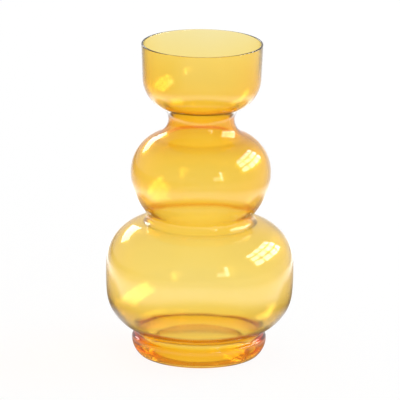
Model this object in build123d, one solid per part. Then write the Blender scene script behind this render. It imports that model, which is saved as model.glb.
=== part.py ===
from build123d import *
import math
import os

# Gourd vase of clear amber glass, blown in one piece. Its wall is modelled lobe by lobe: the foot,
# the lower bulb, the middle bulb and the mouth cup meet in flat rings at the creases and the neck.
# The glass is thin where it is blown widest and thicker in the waists and the foot.
# The origin is on the axis, in the plane that the vase stands on, with +Z up. Sizes are in mm.

# Whole vase
height = 250.0

# Foot, a short drum that stands on a ring
foot_radius = 52.6
foot_rise = 13.8
foot_fall = 5.2
base_inset = 9.0
base_round = 5.6
stand_width = 4.1
stand_round = 1.2

# Base, pushed up in the middle, and the channel that this leaves around it inside
push_up = 10.0
push_up_slant = 7.0
push_up_wall = 2.6
push_up_round = 2.5
floor_thickness = 1.5
floor_round = 3.0
channel_wall = 5.8
channel_floor = 2.0
channel_inner_round = 1.2
channel_outer_round = 1.5

# Crease between the foot and the lower bulb
foot_crease_depth = 2.7
foot_crease_round = 3.4
foot_crease_wall = 2.7
foot_crease_inner_round = 5.0

# Lower bulb, as tall as the other lobes leave it
lower_radius = 73.4
lower_widest_share = 0.505
lower_side_round = 180.0
lower_side_below = 16.0
lower_side_above = 10.0
lower_wall = 1.6

# Crease between the two bulbs
bulb_crease_depth = 13.5
bulb_crease_round = 4.9
bulb_crease_wall = 3.1
bulb_crease_inner_round = 6.6

# Middle bulb
middle_radius = 54.8
middle_rise = 35.0
middle_fall = 42.5
middle_wall = 2.2

# Neck
neck_radius = 25.8
neck_round_below = 13.9
neck_round_above = 11.3
neck_wall = 3.5
neck_inner_round_below = 17.2
neck_inner_round_above = 12.8

# Mouth cup
bowl_radius = 46.3
bowl_rise = 32.4
bowl_wall = 2.4
lip_rise = 28.0
lip_flare = 1.1
lip_wall = 1.6
lip_round = lip_wall / 2

# Heights of the rings where the lobes meet, and of each lobe's widest place
foot_top = foot_rise + foot_fall
bowl_top = height - lip_rise
middle_top = bowl_top - bowl_rise
middle_widest = middle_top - middle_fall
lower_top = middle_widest - middle_rise
lower_widest = foot_top + (lower_top - foot_top) * lower_widest_share

# Outside and inside radii at the creases and the neck
foot_crease_radius = foot_radius - foot_crease_depth
foot_crease_inside = foot_crease_radius - foot_crease_wall
bulb_crease_radius = middle_radius - bulb_crease_depth
bulb_crease_inside = bulb_crease_radius - bulb_crease_wall
neck_inside = neck_radius - neck_wall


class Bend:
    """A round stretch of a face, from its lower to its upper end, in radius and height."""

    def __init__(self, centre, radius, start, end):
        self.centre = centre
        self.radius = radius
        self.start = start
        self.end = end

    def edge(self):
        """The stretch as an arc."""
        return CenterArc(self.centre, self.radius, math.degrees(self.start), math.degrees(self.end - self.start))

    def upside_down(self, level):
        """The stretch mirrored in the level plane at a height."""
        centre = (self.centre[0], 2 * level - self.centre[1])
        return Bend(centre, self.radius, -self.end, -self.start)


def flank(waist, waist_round, side, lean):
    """Two bends from an upright waist out to a side above it, which still opens by the angle lean."""
    hollow_centre = (waist[0] + waist_round, waist[1])
    run = (side[0] - hollow_centre[0], side[1] - hollow_centre[1])
    inward = (-math.cos(lean), math.sin(lean))
    along = run[0] * inward[0] + run[1] * inward[1]
    full_round = (run[0] ** 2 + run[1] ** 2 - waist_round ** 2) / (2 * (waist_round - along))
    full_centre = (side[0] + full_round * inward[0], side[1] + full_round * inward[1])
    slope = math.atan2(full_centre[1] - hollow_centre[1], hollow_centre[0] - full_centre[0])
    return [
        Bend(hollow_centre, waist_round, math.pi, math.pi - slope),
        Bend(full_centre, full_round, -slope, -lean),
    ]


def flank_below(waist, waist_round, side, lean):
    """The same pair for a side that lies below its waist, listed from the side up."""
    mirrored_side = (side[0], 2 * waist[1] - side[1])
    bends = flank(waist, waist_round, mirrored_side, lean)
    return [bend.upside_down(waist[1]) for bend in reversed(bends)]


def foot_side():
    """The round bottom edge, the drum's side and the shoulder that runs into the crease."""
    edge_centre = (foot_radius - base_inset, base_round)
    rise = foot_rise - base_round
    side_round = (base_inset ** 2 + rise ** 2 - base_round ** 2) / (2 * (base_inset - base_round))
    side_centre = (foot_radius - side_round, foot_rise)
    join = math.atan2(edge_centre[1] - side_centre[1], edge_centre[0] - side_centre[0])
    side = (foot_radius, foot_rise)
    return [
        Bend(edge_centre, base_round, -math.pi / 2, join),
        Bend(side_centre, side_round, join, 0),
    ] + flank_below((foot_crease_radius, foot_top), foot_crease_round, side, 0)


def lower_side(foot_waist, foot_waist_round, depth, bulb_waist, bulb_waist_round):
    """The lower bulb's face between two waists, its gently bowed side at a depth in the glass."""
    side_centre = (lower_radius - lower_side_round, lower_widest)
    side_radius = lower_side_round - depth
    lean_below = math.asin(lower_side_below / lower_side_round)
    lean_above = math.asin(lower_side_above / lower_side_round)
    side = Bend(side_centre, side_radius, -lean_below, lean_above)
    lower_end = side.edge() @ 0
    upper_end = side.edge() @ 1
    below = flank((foot_waist, foot_top), foot_waist_round, (lower_end.X, lower_end.Y), lean_below)
    above = flank_below((bulb_waist, lower_top), bulb_waist_round, (upper_end.X, upper_end.Y), lean_above)
    return below + [side] + above


def middle_side(bulb_waist, bulb_waist_round, depth, neck_waist, neck_waist_round):
    """The middle bulb's face between two waists, widest in one ring at a depth in the glass."""
    side = (middle_radius - depth, middle_widest)
    below = flank((bulb_waist, lower_top), bulb_waist_round, side, 0)
    above = flank_below((neck_waist, middle_top), neck_waist_round, side, 0)
    return below + above


def ring_wall(outside, inside):
    """A lobe's wall between two faces, open at both ends, turned about the axis."""
    outer = [bend.edge() for bend in outside]
    inner = [bend.edge() for bend in inside]
    lower_ring = Line(outer[0] @ 0, inner[0] @ 0)
    upper_ring = Line(outer[-1] @ 1, inner[-1] @ 1)
    return turned(outer + inner + [lower_ring, upper_ring])


def turned(edges):
    """The solid that a closed section in radius and height makes about the axis."""
    section = Plane.XZ * make_face(Wire(edges))
    return revolve(section, Axis.Z)


def make_foot():
    """The drum foot: a standing ring, a pushed-up base and an inside that is open to the lower bulb."""
    outer = [bend.edge() for bend in foot_side()]
    stand_inner = foot_radius - base_inset - stand_width
    slant = push_up_slant / push_up
    floor_level = push_up + floor_thickness
    under = FilletPolyline(
        (0, push_up),
        (stand_inner - push_up_slant, push_up),
        (stand_inner, 0),
        outer[0] @ 0,
        radius=[push_up_round, stand_round],
    )
    inside = FilletPolyline(
        (foot_crease_inside, foot_top),
        (foot_radius - channel_wall, channel_floor),
        (stand_inner + push_up_wall - slant * channel_floor, channel_floor),
        (stand_inner + push_up_wall - slant * floor_level, floor_level),
        (0, floor_level),
        radius=[channel_outer_round, channel_inner_round, floor_round],
    )
    top = Line(outer[-1] @ 1, inside @ 0)
    axis = Line(inside @ 1, under @ 0)
    return turned(under.edges() + outer + [top] + inside.edges() + [axis])


def make_lower_bulb():
    """The wide lower bulb, from the foot's crease to the crease under the middle bulb."""
    outside = lower_side(foot_crease_radius, foot_crease_round, 0, bulb_crease_radius, bulb_crease_round)
    inside = lower_side(
        foot_crease_inside, foot_crease_inner_round, lower_wall, bulb_crease_inside, bulb_crease_inner_round
    )
    return ring_wall(outside, inside)


def make_middle_bulb():
    """The round middle bulb, up to the neck's narrowest ring."""
    outside = middle_side(bulb_crease_radius, bulb_crease_round, 0, neck_radius, neck_round_below)
    inside = middle_side(
        bulb_crease_inside, bulb_crease_inner_round, middle_wall, neck_inside, neck_inner_round_below
    )
    return ring_wall(outside, inside)


def make_mouth_cup():
    """The cup above the neck, with a straight, slightly flared side and a round lip."""
    lean = math.atan2(lip_flare, lip_rise)
    across = Vector(-math.cos(lean), math.sin(lean))
    bowl_edge = Vector(bowl_radius, bowl_top)
    bowl_inside = bowl_edge + across * bowl_wall
    outer = [
        bend.edge()
        for bend in flank((neck_radius, middle_top), neck_round_above, (bowl_edge.X, bowl_edge.Y), lean)
    ]
    inner = [
        bend.edge()
        for bend in flank((neck_inside, middle_top), neck_inner_round_above, (bowl_inside.X, bowl_inside.Y), lean)
    ]
    side_rise = lip_rise - lip_round - lip_round * math.sin(lean)
    outer_side = Line(outer[-1] @ 1, bowl_edge + Vector(side_rise * math.tan(lean), side_rise))
    inner_side = Line(inner[-1] @ 1, outer_side @ 1 + across * lip_wall)
    lip = TangentArc(outer_side @ 1, inner_side @ 1, tangent=outer_side % 1)
    lower_ring = Line(outer[0] @ 0, inner[0] @ 0)
    return turned(outer + [outer_side, lip, inner_side] + inner + [lower_ring])


parts = {
    "foot": make_foot(),
    "lower_bulb": make_lower_bulb(),
    "middle_bulb": make_middle_bulb(),
    "mouth_cup": make_mouth_cup(),
}

os.makedirs("parts", exist_ok=True)
for name, solid in parts.items():
    export_step(solid, f"parts/{name}.step")
    print(name, "volume", round(solid.volume), "mm3, top at", round(solid.bounding_box().max.Z, 2))
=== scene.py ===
import math

import bpy
from mathutils import Matrix, Vector


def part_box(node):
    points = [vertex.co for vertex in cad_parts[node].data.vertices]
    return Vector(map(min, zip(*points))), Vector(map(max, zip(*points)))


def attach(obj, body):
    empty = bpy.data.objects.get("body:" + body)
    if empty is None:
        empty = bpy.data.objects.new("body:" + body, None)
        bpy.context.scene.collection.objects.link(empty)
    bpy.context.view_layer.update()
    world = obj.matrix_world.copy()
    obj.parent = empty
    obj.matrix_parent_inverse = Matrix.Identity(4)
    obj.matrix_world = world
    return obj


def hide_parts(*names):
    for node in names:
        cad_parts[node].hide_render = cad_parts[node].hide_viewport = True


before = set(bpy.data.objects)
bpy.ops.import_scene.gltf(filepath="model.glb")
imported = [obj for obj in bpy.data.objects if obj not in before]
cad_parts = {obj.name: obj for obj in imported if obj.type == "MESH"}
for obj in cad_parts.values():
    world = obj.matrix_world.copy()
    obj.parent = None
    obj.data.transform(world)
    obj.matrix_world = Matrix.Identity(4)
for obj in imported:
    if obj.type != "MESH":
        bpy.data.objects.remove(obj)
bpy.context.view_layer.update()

# A gourd vase of clear amber glass. The real vase is one piece, so one closed shell of glass, turned
# from one outline, stands for the four lobes of the frame. Lengths are in metres.
MM = 0.001

# Heights of the rings where the lobes meet, from the frame
foot_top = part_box("foot")[1][2]
lower_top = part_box("lower_bulb")[1][2]
middle_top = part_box("middle_bulb")[1][2]
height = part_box("mouth_cup")[1][2]

# Foot, a short drum that stands on a ring
foot_radius = 52.6 * MM
foot_widest = 13.8 * MM
base_inset = 9.0 * MM
base_round = 5.6 * MM
stand_width = 4.1 * MM
stand_round = 1.2 * MM

# Base, pushed up in the middle, and the channel that this leaves around it inside
push_up = 10.0 * MM
push_up_slant = 7.0 * MM
push_up_wall = 2.6 * MM
push_up_round = 2.5 * MM
floor_thickness = 1.5 * MM
floor_round = 3.0 * MM
channel_wall = 5.8 * MM
channel_floor = 2.0 * MM
channel_inner_round = 1.2 * MM
channel_outer_round = 1.5 * MM

# Crease between the foot and the lower bulb
foot_crease_depth = 2.7 * MM
foot_crease_round = 3.4 * MM
foot_crease_wall = 2.7 * MM
foot_crease_inner_round = 5.0 * MM

# Lower bulb, with a gently bowed side
lower_radius = 73.4 * MM
lower_widest_share = 0.505
lower_side_round = 180.0 * MM
lower_side_below = 16.0 * MM
lower_side_above = 10.0 * MM
lower_wall = 1.6 * MM

# Crease between the two bulbs
bulb_crease_depth = 13.5 * MM
bulb_crease_round = 4.9 * MM
bulb_crease_wall = 3.1 * MM
bulb_crease_inner_round = 6.6 * MM

# Middle bulb
middle_radius = 54.8 * MM
middle_rise = 35.0 * MM
middle_wall = 2.2 * MM

# Neck
neck_radius = 25.8 * MM
neck_round_below = 13.9 * MM
neck_round_above = 11.3 * MM
neck_wall = 3.5 * MM
neck_inner_round_below = 17.2 * MM
neck_inner_round_above = 12.8 * MM

# Mouth cup, with a straight side that leans out a little and a round lip
bowl_radius = 46.3 * MM
bowl_rise = 32.4 * MM
bowl_wall = 2.4 * MM
lip_flare = 1.1 * MM
lip_wall = 1.6 * MM

# Places that follow from these sizes
foot_crease_radius = foot_radius - foot_crease_depth
foot_crease_inside = foot_crease_radius - foot_crease_wall
lower_widest = foot_top + (lower_top - foot_top) * lower_widest_share
bulb_crease_radius = middle_radius - bulb_crease_depth
bulb_crease_inside = bulb_crease_radius - bulb_crease_wall
middle_widest = lower_top + middle_rise
neck_inside = neck_radius - neck_wall
bowl_top = middle_top + bowl_rise
cup_lean = math.atan2(lip_flare, height - bowl_top)
lip_round = lip_wall / 2

# How finely the shell is cut
degrees_per_step = 5.0
fewest_steps = 4
straight_steps = 8
steps_around = 208
seam_distance = 0.001 * MM

# Unevenness of the blown wall, which fades out towards the table and the axis. Its noise lies about a
# middle value, and the inside face takes it from another place, a shift away.
unevenness = 0.12 * MM
unevenness_size = 30 * MM
unevenness_detail = 1.0
even_below = 6 * MM
even_within = 20 * MM
noise_middle = 0.5
inside_noise_shift = 5.0

# Surface of the glass, and how strongly it bends light. The inside face shines a little less than the
# outside, and faint smears come in between two levels of their noise.
outside_roughness = 0.04
inside_roughness = 0.12
inside_mark = "inside_face"
ripple_size = 18 * MM
ripple_detail = 2.0
ripple_depth = 0.02 * MM
smear_size = 12 * MM
smear_detail = 4.0
smear_limits = (0.55, 0.8)
smear_roughness = 0.02
glass_bending = 1.5

# Colour of the glass: what a metre of it takes out of red, green and blue, as a density a little above
# the largest of the three and a colour
taken_per_metre = (3.0, 92.0, 545.0)
density_margin = 1.05
glass_density = density_margin * max(taken_per_metre)
glass_depth_colour = tuple(1.0 - taken / glass_density for taken in taken_per_metre)
glass_shadow = (0.97, 0.9, 0.7)

# Floor, just under the vase: its own colour, and the white that takes its place for the camera but for
# a share of the true shade
floor_reach = 12.0
floor_gap = 0.2 * MM
floor_colour = (0.8, 0.8, 0.8)
white = (1.0, 1.0, 1.0)
shadow_share = 0.1

# Shadow beside the vase, as it is seen through the glass. It comes in between two shares of the way
# that go sideways, goes over from its strength at the left to that at the right, and starts, is full
# and ends at three distances from the axis.
shadow_colour = (0.2, 0.15, 0.1)
shadow_sides = (0.3, 0.85)
shadow_left = 1.0
shadow_right = 0.7
left_to_right = (-0.5, 0.5)
shadow_start = 0.048
shadow_full = 0.1
shadow_end = 0.32

# Shadow around the vase, as the glass mirrors it: a ring under the foot and one further out, which is
# narrower sideways and reaches further behind
contact_end = (0.065, 0.085)
near_start = (0.1, 0.15)
near_end = (0.2, 0.3)
near_behind = 0.1
near_widening = 1.3
near_depth = 0.85

# Light on the floor, as the glass mirrors it: a bright ring, and a dimmer stretch at the left
sunlit_start = (0.2, 0.3)
sunlit_end = (0.34, 0.56)
sunlit_more = 1.5
dim_left = (0.3, 0.7)
dim_level = 0.35

# Where the floor counts as in front and as behind, by the share of the way that goes backwards, and
# how its light falls off far away
floor_front = (-0.2, 0.5)
floor_behind = (0.0, 0.45)
far_start = (0.7, 2.5)
far_level = 0.7
back_start = (0.5, 1.2)
back_level = 0.93

# Room, by the direction of sight: a white back, a dimmer front over the far floor, a dimmer ceiling
room_back = (-0.5, 0.5)
room_horizon = (-0.05, 0.45)
room_ceiling = (0.35, 0.8)
front_level = 0.5
ceiling_level = 0.7

# Window with bars, on a wall two metres to the right of the vase
window_away = 2.0
window_front = -0.5
window_back = 2.0
window_sill = 0.68
window_top = 2.1
window_columns = 4
window_rows = 3
window_bar = 0.11
window_level = 8.5

# Soft lights that face the vase, placed by angles in degrees: azimuth 0 is the camera's side, 90 the right
soft_lights = {
    "left_light": {"azimuth": -151, "elevation": 21, "away": 3.0, "width": 1.4, "tall": 0.62, "level": 4.5},
    "front_light": {"azimuth": 35, "elevation": 19, "away": 3.0, "width": 0.24, "tall": 1.25, "level": 6.0},
    "front_glow": {"azimuth": 27, "elevation": 13, "away": 3.1, "width": 0.6, "tall": 0.6, "level": 2.5},
}

# Camera, far away and a little above, for the photograph's square frame
photo_pixels = 400
pixels_per_metre = 1279.85
sensor_width = 36.0
camera_away = 5.0
camera_elevation = 15.05
camera_roll = 0.67
camera_aim = Vector((-0.4 * MM, 0.0, 123.9 * MM))
view_end = 20.0


# Outline of the wall

class Bend:
    """A round stretch of a face, from its lower to its upper end, in radius and height."""

    def __init__(self, centre, radius, start, end):
        self.centre = centre
        self.radius = radius
        self.start = start
        self.end = end

    def points(self):
        """Points along the stretch, its ends among them."""
        turn = self.end - self.start
        count = max(fewest_steps, math.ceil(abs(math.degrees(turn)) / degrees_per_step))
        angles = [self.start + turn * k / count for k in range(count + 1)]
        x, z = self.centre
        return [(x + self.radius * math.cos(angle), z + self.radius * math.sin(angle)) for angle in angles]

    def upside_down(self, level):
        """The stretch mirrored in the level plane at a height."""
        centre = (self.centre[0], 2 * level - self.centre[1])
        return Bend(centre, self.radius, -self.end, -self.start)


def flank(waist, waist_round, side, lean):
    """Two bends from an upright waist out to a side above it, which still opens by the angle lean."""
    hollow_centre = (waist[0] + waist_round, waist[1])
    run = (side[0] - hollow_centre[0], side[1] - hollow_centre[1])
    inward = (-math.cos(lean), math.sin(lean))
    along = run[0] * inward[0] + run[1] * inward[1]
    full_round = (run[0] ** 2 + run[1] ** 2 - waist_round ** 2) / (2 * (waist_round - along))
    full_centre = (side[0] + full_round * inward[0], side[1] + full_round * inward[1])
    slope = math.atan2(full_centre[1] - hollow_centre[1], hollow_centre[0] - full_centre[0])
    return [
        Bend(hollow_centre, waist_round, math.pi, math.pi - slope),
        Bend(full_centre, full_round, -slope, -lean),
    ]


def flank_below(waist, waist_round, side, lean):
    """The same pair for a side that lies below its waist, listed from the side up."""
    mirrored_side = (side[0], 2 * waist[1] - side[1])
    bends = flank(waist, waist_round, mirrored_side, lean)
    return [bend.upside_down(waist[1]) for bend in reversed(bends)]


def foot_side():
    """The foot's outside: the round bottom edge, the drum's side and the shoulder under the crease."""
    edge_centre = (foot_radius - base_inset, base_round)
    rise = foot_widest - base_round
    side_round = (base_inset ** 2 + rise ** 2 - base_round ** 2) / (2 * (base_inset - base_round))
    side_centre = (foot_radius - side_round, foot_widest)
    join = math.atan2(edge_centre[1] - side_centre[1], edge_centre[0] - side_centre[0])
    return [
        Bend(edge_centre, base_round, -math.pi / 2, join),
        Bend(side_centre, side_round, join, 0.0),
    ] + flank_below((foot_crease_radius, foot_top), foot_crease_round, (foot_radius, foot_widest), 0.0)


def lower_side(foot_waist, foot_waist_round, depth, bulb_waist, bulb_waist_round):
    """The lower bulb's face between two waists, its bowed side at a depth in the glass."""
    side_centre = (lower_radius - lower_side_round, lower_widest)
    lean_below = math.asin(lower_side_below / lower_side_round)
    lean_above = math.asin(lower_side_above / lower_side_round)
    side = Bend(side_centre, lower_side_round - depth, -lean_below, lean_above)
    points = side.points()
    below = flank((foot_waist, foot_top), foot_waist_round, points[0], lean_below)
    above = flank_below((bulb_waist, lower_top), bulb_waist_round, points[-1], lean_above)
    return below + [side] + above


def middle_side(bulb_waist, bulb_waist_round, depth, neck_waist, neck_waist_round):
    """The middle bulb's face between two waists, widest in one ring at a depth in the glass."""
    side = (middle_radius - depth, middle_widest)
    below = flank((bulb_waist, lower_top), bulb_waist_round, side, 0.0)
    above = flank_below((neck_waist, middle_top), neck_waist_round, side, 0.0)
    return below + above


def cup_side(neck_waist, neck_waist_round, depth):
    """The mouth cup's face from the neck up to its straight side, at a depth in the glass."""
    side = (bowl_radius - depth * math.cos(cup_lean), bowl_top + depth * math.sin(cup_lean))
    return flank((neck_waist, middle_top), neck_waist_round, side, cup_lean)


def straight(start, end):
    """Points on a straight stretch, its ends among them."""
    steps = range(straight_steps + 1)
    return [tuple(a + (b - a) * k / straight_steps for a, b in zip(start, end)) for k in steps]


def rounded_run(corners, rounds):
    """Points along straight runs, with a round of its own at each corner between them."""
    points = [corners[0]]
    for before, corner, after, size in zip(corners, corners[1:], corners[2:], rounds):
        back = (Vector(before) - Vector(corner)).normalized()
        onward = (Vector(after) - Vector(corner)).normalized()
        half = back.angle(onward) / 2
        centre = Vector(corner) + (back + onward).normalized() * size / math.sin(half)
        start = Vector(corner) + back * size / math.tan(half) - centre
        turn = math.copysign(math.pi - 2 * half, back.y * onward.x - back.x * onward.y)
        angle = math.atan2(start.y, start.x)
        points += Bend(tuple(centre), size, angle, angle + turn).points()
    return points + [corners[-1]]


def push_up_radius(level):
    """The radius of the pushed-up base's sloping face, at a height, on its underside."""
    return foot_radius - base_inset - stand_width - push_up_slant * level / push_up


def under_base(stand_edge):
    """The underside, from the axis down to the standing ring's outer edge."""
    corners = [(0.0, push_up), (push_up_radius(push_up), push_up), (push_up_radius(0.0), 0.0), stand_edge]
    return rounded_run(corners, (push_up_round, stand_round))


def inside_foot(crease):
    """The inside below the crease: down the drum, across the channel and over the pushed-up base."""
    floor_level = push_up + floor_thickness
    corners = [
        crease,
        (foot_radius - channel_wall, channel_floor),
        (push_up_radius(channel_floor) + push_up_wall, channel_floor),
        (push_up_radius(floor_level) + push_up_wall, floor_level),
        (0.0, floor_level),
    ]
    return rounded_run(corners, (channel_outer_round, channel_inner_round, floor_round))


def outer_face():
    """The bends of the outside, from the standing ring up to the cup's straight side."""
    return (
        foot_side()
        + lower_side(foot_crease_radius, foot_crease_round, 0.0, bulb_crease_radius, bulb_crease_round)
        + middle_side(bulb_crease_radius, bulb_crease_round, 0.0, neck_radius, neck_round_below)
        + cup_side(neck_radius, neck_round_above, 0.0)
    )


def inner_face():
    """The bends of the inside, from the foot's crease up to the cup's straight side."""
    foot_waist = (foot_crease_inside, foot_crease_inner_round)
    bulb_waist = (bulb_crease_inside, bulb_crease_inner_round)
    return (
        lower_side(*foot_waist, lower_wall, *bulb_waist)
        + middle_side(*bulb_waist, middle_wall, neck_inside, neck_inner_round_below)
        + cup_side(neck_inside, neck_inner_round_above, bowl_wall)
    )


def vase_outline():
    """The whole section in radius and height: base, outside, lip, inside and floor."""
    outside = [point for bend in outer_face() for point in bend.points()]
    inside = [point for bend in reversed(inner_face()) for point in reversed(bend.points())]
    side_rise = height - lip_round - lip_round * math.sin(cup_lean) - bowl_top
    lip_edge = (bowl_radius + side_rise * math.tan(cup_lean), bowl_top + side_rise)
    lip_centre = (
        lip_edge[0] - lip_round * math.cos(cup_lean),
        lip_edge[1] + lip_round * math.sin(cup_lean),
    )
    lip = Bend(lip_centre, lip_round, -cup_lean, math.pi - cup_lean).points()
    return (
        under_base(outside[0])
        + outside
        + straight(outside[-1], lip[0])
        + lip
        + straight(lip[-1], inside[0])
        + inside
        + inside_foot(inside[-1])
    )


# Node trees

class Value:
    """A socket of a node tree that Python's operators work on."""

    def __init__(self, tree, socket):
        self.tree = tree
        self.socket = socket

    def math(self, operation, *others):
        """An operation on this socket and others."""
        return self.tree.math(operation, self, *others)

    def __add__(self, other):
        return self.tree.math("ADD", self, other)

    def __radd__(self, other):
        return self.tree.math("ADD", other, self)

    def __sub__(self, other):
        return self.tree.math("SUBTRACT", self, other)

    def __rsub__(self, other):
        return self.tree.math("SUBTRACT", other, self)

    def __mul__(self, other):
        return self.tree.math("MULTIPLY", self, other)

    def __truediv__(self, other):
        return self.tree.math("DIVIDE", self, other)

    def __rtruediv__(self, other):
        return self.tree.math("DIVIDE", other, self)


class Made:
    """A node that has been made, with its outputs by name or number."""

    def __init__(self, tree, node):
        self.tree = tree
        self.node = node

    def __getitem__(self, key):
        return Value(self.tree, self.node.outputs[key])


class Tree:
    """A node tree that nodes are added to by type, settings and sockets."""

    def __init__(self, tree):
        self.tree = tree

    def node(self, kind, settings=None, sockets=None):
        """A new node. Each of its sockets is given a value, or a link from another socket."""
        made = self.tree.nodes.new(kind)
        for name, setting in (settings or {}).items():
            setattr(made, name, setting)
        for key, given in (sockets or {}).items():
            if isinstance(given, Value):
                self.tree.links.new(given.socket, made.inputs[key])
            else:
                made.inputs[key].default_value = given
        return Made(self, made)

    def math(self, operation, *values):
        """A sum, product or other operation on numbers and sockets."""
        return self.node("ShaderNodeMath", {"operation": operation}, dict(enumerate(values)))[0]

    def vector(self, x, y, z):
        """A vector of three numbers or sockets."""
        return self.node("ShaderNodeCombineXYZ", sockets={"X": x, "Y": y, "Z": z})[0]

    def parts(self, vector):
        """A vector's X, Y and Z."""
        return self.node("ShaderNodeSeparateXYZ", sockets={0: vector})

    def noise(self, place, size, detail):
        """Noise whose patches are about as large as the size."""
        sockets = {"Vector": place, "Scale": 1.0 / size, "Detail": detail}
        return self.node("ShaderNodeTexNoise", sockets=sockets)[0]

    def mix(self, share, first, second):
        """Two colours mixed by a share. The node's colour sockets are 6 and 7, its colour result is 2."""
        return self.node("ShaderNodeMix", {"data_type": "RGBA"}, {0: share, 6: first, 7: second})[2]

    def rise(self, value, limits):
        """A smooth step from 0 at the lower limit to 1 at the upper."""
        sockets = {"Value": value, "From Min": limits[0], "From Max": limits[1]}
        return self.node("ShaderNodeMapRange", {"interpolation_type": "SMOOTHSTEP"}, sockets)[0]

    def fall(self, value, limits):
        """A smooth step from 1 at the lower limit to 0 at the upper."""
        return 1.0 - self.rise(value, limits)


# The turned shell

def lathe_tree():
    """Turns an outline, drawn in X and Z, about the Z axis, with a hand-blown unevenness."""
    group = bpy.data.node_groups.new("blown_lathe", "GeometryNodeTree")
    inputs = {
        "Outline": "NodeSocketGeometry",
        "Outside Points": "NodeSocketInt",
        "Steps Around": "NodeSocketInt",
        "Unevenness": "NodeSocketFloat",
        "Unevenness Size": "NodeSocketFloat",
        "Even Below": "NodeSocketFloat",
        "Even Within": "NodeSocketFloat",
        "Glass": "NodeSocketMaterial",
    }
    for name, kind in inputs.items():
        group.interface.new_socket(name, in_out="INPUT", socket_type=kind)
    group.interface.new_socket("Shell", in_out="OUTPUT", socket_type="NodeSocketGeometry")
    tree = Tree(group)
    given = tree.node("NodeGroupInput")

    # A grid with a column of points for each point of the outline
    sizes = tree.node(
        "GeometryNodeAttributeDomainSize",
        {"component": "MESH"},
        {"Geometry": given["Outline"]},
    )
    count = sizes["Point Count"]
    across = given["Steps Around"] + 1
    grid = tree.node("GeometryNodeMeshGrid", sockets={"Vertices X": count, "Vertices Y": across})
    index = tree.node("GeometryNodeInputIndex")[0]
    column = (index / across).math("FLOOR")
    inside = column.math("GREATER_THAN", given["Outside Points"])
    marked = tree.node(
        "GeometryNodeStoreNamedAttribute",
        {"data_type": "FLOAT", "domain": "POINT"},
        {"Geometry": grid["Mesh"], "Name": inside_mark, "Value": inside},
    )

    # Each column turned about the axis
    outline = tree.node(
        "GeometryNodeSampleIndex",
        {"data_type": "FLOAT_VECTOR", "domain": "POINT"},
        {"Geometry": given["Outline"], "Value": tree.node("GeometryNodeInputPosition")[0], "Index": column},
    )
    section = tree.parts(outline[0])
    turn = index.math("MODULO", across) / given["Steps Around"] * (2 * math.pi)
    along_x = turn.math("COSINE")
    along_y = turn.math("SINE")
    turned = tree.vector(section["X"] * along_x, section["X"] * along_y, section["Z"])

    # The unevenness, of its own on each face of the wall
    noise = tree.node("ShaderNodeTexNoise", {"noise_dimensions": "4D"}, {
        "Vector": turned,
        "W": inside * inside_noise_shift,
        "Scale": 1.0 / given["Unevenness Size"],
        "Detail": unevenness_detail,
    })
    swell = (noise[0] - noise_middle) / noise_middle * given["Unevenness"]
    swell = swell * tree.rise(section["Z"], (0.0, given["Even Below"]))
    swell = swell * tree.rise(section["X"], (0.0, given["Even Within"]))

    # The shell, closed at its seam and poles
    shell = tree.node("GeometryNodeSetPosition", sockets={
        "Geometry": marked[0],
        "Position": turned,
        "Offset": tree.vector(swell * along_x, swell * along_y, 0.0),
    })
    closed = tree.node("GeometryNodeMergeByDistance", sockets={0: shell[0], "Distance": seam_distance})
    outward = tree.node("GeometryNodeFlipFaces", sockets={0: closed[0]})
    smooth = tree.node("GeometryNodeSetShadeSmooth", sockets={0: outward[0]})
    dressed = tree.node("GeometryNodeSetMaterial", sockets={0: smooth[0], "Material": given["Glass"]})
    real = tree.node("GeometryNodeRealizeInstances", sockets={0: dressed[0]})
    tree.node("NodeGroupOutput", sockets={0: real[0]})
    return group


def set_inputs(modifier, values):
    """Sets a Geometry Nodes modifier's inputs, which are kept by identifier."""
    for item in modifier.node_group.interface.items_tree:
        if item.item_type == "SOCKET" and item.in_out == "INPUT" and item.name in values:
            modifier[item.identifier] = values[item.name]


def blown_vase(glass):
    """The vase's closed shell of glass, as a plain mesh."""
    outline = vase_outline()
    mesh = bpy.data.meshes.new("vase_outline")
    edges = [(k, k + 1) for k in range(len(outline) - 1)]
    mesh.from_pydata([(radius, 0.0, level) for radius, level in outline], edges, [])
    vase = bpy.data.objects.new("vase_glass", mesh)
    bpy.context.scene.collection.objects.link(vase)
    modifier = vase.modifiers.new("blown_lathe", "NODES")
    modifier.node_group = lathe_tree()
    set_inputs(modifier, {
        "Outside Points": max(range(len(outline)), key=lambda k: outline[k][1]),
        "Steps Around": steps_around,
        "Unevenness": unevenness,
        "Unevenness Size": unevenness_size,
        "Even Below": even_below,
        "Even Within": even_within,
        "Glass": glass,
    })
    evaluated = vase.evaluated_get(bpy.context.evaluated_depsgraph_get())
    shell = bpy.data.meshes.new_from_object(evaluated)
    vase.modifiers.clear()
    vase.data = shell
    shell.name = "vase_glass"
    return vase


# Materials

def new_material(name):
    """An empty material, and its node tree."""
    material = bpy.data.materials.new(name)
    material.use_nodes = True
    material.node_tree.nodes.clear()
    return material, Tree(material.node_tree)


def opaque(colour):
    """A colour with the fourth number that a colour socket takes."""
    return (*colour, 1.0)


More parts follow.
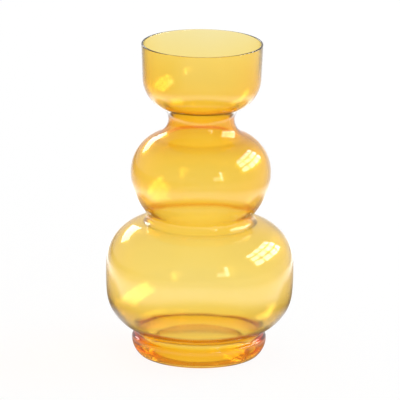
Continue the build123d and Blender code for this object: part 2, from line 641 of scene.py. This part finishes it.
def amber_glass():
    """Clear amber glass: the colour is in its depth, so thick places are deeper."""
    material, tree = new_material("amber_glass")
    place = tree.node("ShaderNodeTexCoord")["Object"]
    ripple = tree.noise(place, ripple_size, ripple_detail)
    bump = tree.node("ShaderNodeBump", sockets={
        "Height": ripple,
        "Strength": 1.0,
        "Distance": ripple_depth,
    })
    smear = tree.rise(tree.noise(place, smear_size, smear_detail), smear_limits)
    inner = tree.node("ShaderNodeAttribute", {"attribute_name": inside_mark})["Fac"]
    roughness = outside_roughness + inner * (inside_roughness - outside_roughness) + smear * smear_roughness
    surface = tree.node("ShaderNodeBsdfPrincipled", sockets={
        "Base Color": opaque(white),
        "Roughness": roughness,
        "IOR": glass_bending,
        "Transmission Weight": 1.0,
        "Normal": bump[0],
    })
    shadow = tree.node("ShaderNodeBsdfTransparent", sockets={"Color": opaque(glass_shadow)})
    path = tree.node("ShaderNodeLightPath")
    mixed = tree.node("ShaderNodeMixShader", sockets={0: path["Is Shadow Ray"], 1: surface[0], 2: shadow[0]})
    depth = tree.node("ShaderNodeVolumeAbsorption", sockets={
        "Color": opaque(glass_depth_colour),
        "Density": glass_density,
    })
    tree.node("ShaderNodeOutputMaterial", sockets={"Surface": mixed[0], "Volume": depth[0]})
    return material


def seen_in_glass(path):
    """1 for a ray that the glass has mirrored or bent, else 0."""
    return path["Is Glossy Ray"].math("MAXIMUM", path["Is Transmission Ray"])


def dimmed(share, level):
    """1 where the share is 0, and the level where the share is 1."""
    return 1.0 - share * (1.0 - level)


def side_shadow(tree, away, across):
    """The shadow beside the vase."""
    strength = shadow_left + tree.rise(across, left_to_right) * (shadow_right - shadow_left)
    shadow = tree.rise(across.math("ABSOLUTE"), shadow_sides) * strength
    shadow = shadow * tree.rise(away, (shadow_start, shadow_full))
    return shadow * tree.fall(away, (shadow_full, shadow_end))


def near_shadow(tree, away, wide, behind):
    """The shadow around the vase, in two rings."""
    rings = 1.0 - tree.rise(away, contact_end) * tree.fall(away, near_start)
    return rings * tree.fall(wide - behind * near_behind, near_end) * near_depth


def white_floor():
    """White to the camera, but for a faint shade. The glass also finds shadows and uneven light on it."""
    material, tree = new_material("white_floor")
    path = tree.node("ShaderNodeLightPath")
    through = path["Is Transmission Ray"]
    mirrored = path["Is Glossy Ray"] * (1.0 - through)
    seen = seen_in_glass(path)
    place = tree.parts(tree.node("ShaderNodeTexCoord")["Object"])
    away = (place["X"] * place["X"] + place["Y"] * place["Y"]).math("SQRT")
    onward = place["Y"] / away
    front = tree.fall(onward, floor_front)
    behind = tree.rise(onward, floor_behind)
    wide = place["X"] * near_widening
    wide = (wide * wide + place["Y"] * place["Y"]).math("SQRT")
    shade = side_shadow(tree, away, place["X"] / away) * through
    shade = shade + near_shadow(tree, away, wide, behind) * mirrored
    tint = tree.mix(shade, opaque(white), opaque(shadow_colour))
    sunlit = tree.rise(wide, sunlit_start) * tree.fall(wide, sunlit_end)
    level = dimmed(tree.rise(place["X"] * -1.0, dim_left) * mirrored, dim_level)
    level = level * (1.0 + mirrored * sunlit * sunlit_more)
    level = level * dimmed(tree.rise(away, far_start) * front * seen, far_level)
    level = level * dimmed(tree.rise(away, back_start) * behind * through, back_level)
    glow = tree.node("ShaderNodeEmission", sockets={"Color": tint, "Strength": level})
    lit = tree.node("ShaderNodeBsdfDiffuse", sockets={"Color": opaque(floor_colour)})
    camera = path["Is Camera Ray"]
    glowing = camera.math("MAXIMUM", seen) * (1.0 - camera * shadow_share)
    mixed = tree.node("ShaderNodeMixShader", sockets={0: glowing, 1: lit[0], 2: glow[0]})
    tree.node("ShaderNodeOutputMaterial", sockets={"Surface": mixed[0]})
    return material


# The studio

def studio_floor():
    """A wide floor just under the vase."""
    mesh = bpy.data.meshes.new("studio_floor")
    reach = floor_reach
    corners = [(-reach, -reach), (reach, -reach), (reach, reach), (-reach, reach)]
    mesh.from_pydata([(x, y, -floor_gap) for x, y in corners], [], [(0, 1, 2, 3)])
    mesh.materials.append(white_floor())
    floor = bpy.data.objects.new("studio_floor", mesh)
    bpy.context.scene.collection.objects.link(floor)


def studio_world():
    """White to the camera. The glass finds a white back and a dimmer front and ceiling."""
    world = bpy.data.worlds.new("studio")
    world.use_nodes = True
    world.node_tree.nodes.clear()
    tree = Tree(world.node_tree)
    path = tree.node("ShaderNodeLightPath")
    way = tree.parts(tree.node("ShaderNodeTexCoord")["Generated"])
    back = tree.rise(way["Y"], room_back)
    front = front_level + tree.fall(way["Z"], room_horizon) * (far_level - front_level)
    room = front + back * (1.0 - front)
    room = room * dimmed(tree.rise(way["Z"], room_ceiling), ceiling_level)
    seen = seen_in_glass(path)
    background = tree.node("ShaderNodeBackground", sockets={"Strength": seen * room + (1.0 - seen)})
    tree.node("ShaderNodeOutputWorld", sockets={"Surface": background[0]})
    bpy.context.scene.world = world


def with_back_to(direction):
    """The turn of a lamp or camera whose back points in a direction."""
    return direction.to_track_quat("Z", "Y").to_matrix().to_4x4()


def direction_to(azimuth, elevation):
    """The way out to a place seen from the vase, by angles in degrees."""
    a = math.radians(azimuth)
    e = math.radians(elevation)
    return Vector((math.sin(a) * math.cos(e), -math.cos(a) * math.cos(e), math.sin(e)))


def light_pane(name, place, direction, width, tall, level):
    """A flat rectangle of light that the camera doesn't see."""
    lamp = bpy.data.lights.new(name, "AREA")
    lamp.shape = "RECTANGLE"
    lamp.size = width
    lamp.size_y = tall
    lamp.energy = level * math.pi * width * tall
    pane = bpy.data.objects.new(name, lamp)
    pane.visible_camera = False
    pane.matrix_world = Matrix.Translation(place) @ with_back_to(direction)
    bpy.context.scene.collection.objects.link(pane)


def right_window():
    """A window on the wall at the right, its panes set apart by bars."""
    width = (window_back - window_front) / window_columns
    tall = (window_top - window_sill) / window_rows
    outward = Vector((1.0, 0.0, 0.0))
    for column in range(window_columns):
        for row in range(window_rows):
            along = window_front + (column + 0.5) * width
            level = window_sill + (row + 0.5) * tall
            light_pane(
                f"window_pane_{column}_{row}",
                Vector((window_away, along, level)),
                outward,
                width - window_bar,
                tall - window_bar,
                window_level,
            )


def soft_light(name, azimuth, elevation, away, width, tall, level):
    """A soft light that faces the vase's middle."""
    direction = direction_to(azimuth, elevation)
    light_pane(name, direction * away + Vector((0.0, 0.0, height / 2)), direction, width, tall, level)


def photo_camera():
    """The camera of the photograph, with its slight roll."""
    camera = bpy.data.objects.new("camera", bpy.data.cameras.new("camera"))
    bpy.context.scene.collection.objects.link(camera)
    camera.data.sensor_width = sensor_width
    camera.data.lens = pixels_per_metre * camera_away / photo_pixels * sensor_width
    camera.data.clip_end = view_end
    direction = direction_to(0.0, camera_elevation)
    roll = Matrix.Rotation(math.radians(camera_roll), 4, "Z")
    place = camera_aim + direction * camera_away
    camera.matrix_world = Matrix.Translation(place) @ with_back_to(direction) @ roll
    bpy.context.scene.camera = camera


vase = blown_vase(amber_glass())
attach(vase, "root")
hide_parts("foot", "lower_bulb", "middle_bulb", "mouth_cup")

studio_floor()
studio_world()
right_window()
for light_name, light in soft_lights.items():
    soft_light(light_name, **light)
photo_camera()
bpy.context.scene.view_settings.view_transform = "Standard"
